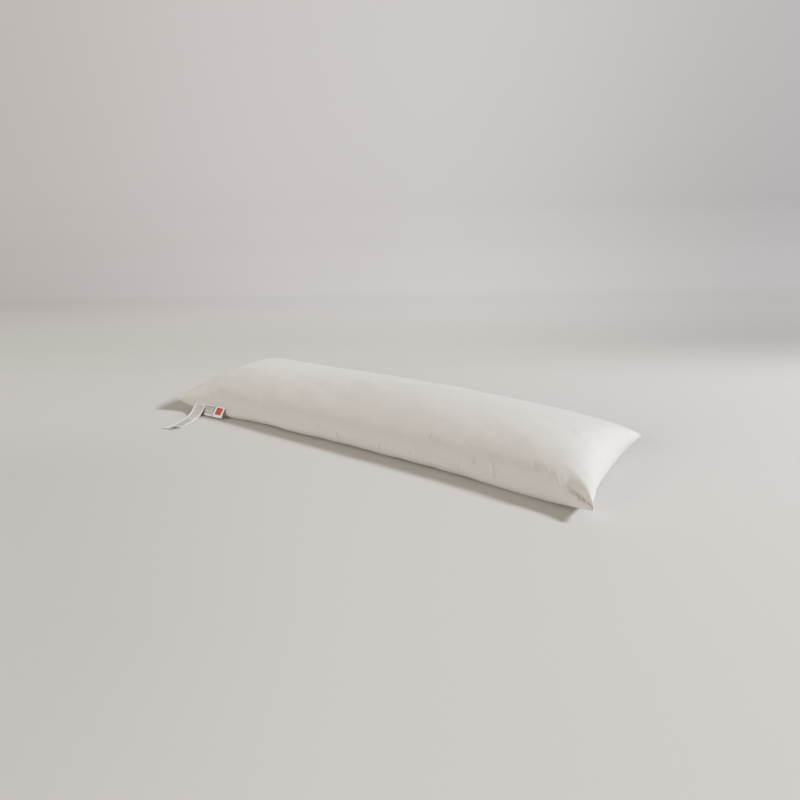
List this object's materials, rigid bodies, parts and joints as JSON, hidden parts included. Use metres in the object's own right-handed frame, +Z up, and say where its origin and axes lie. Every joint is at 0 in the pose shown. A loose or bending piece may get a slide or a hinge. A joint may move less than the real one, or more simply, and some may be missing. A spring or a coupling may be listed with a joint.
{
  "type": "body support pillow",
  "caption": "Long filled body support pillow with a crowned top, drawn-in sides, pointed corners, a flat underside and labels sewn into one side seam.",
  "frame": {"origin": "on the surface that the pillow rests on, under its middle, at the rest_face mount", "axes": "+X along the pillow's length, +Z up through its crown; the labels hang from the side seam on -Y"},
  "size_m": [1.469, 0.6323, 0.1637],
  "materials": {
    "cotton_cover": "off-white fine plain-weave cotton, matt, softly creased along its seam",
    "label_satin": "white woven satin ribbon with denser pale edges",
    "label_woven": "white woven label with a plain red band and thin dark side lines"
  },
  "bodies": {
    "root": {"pillow": "cotton_cover", "care_label": "label_satin", "fibre_label": "label_satin", "square_label": "label_woven"}
  },
  "joints": []
}
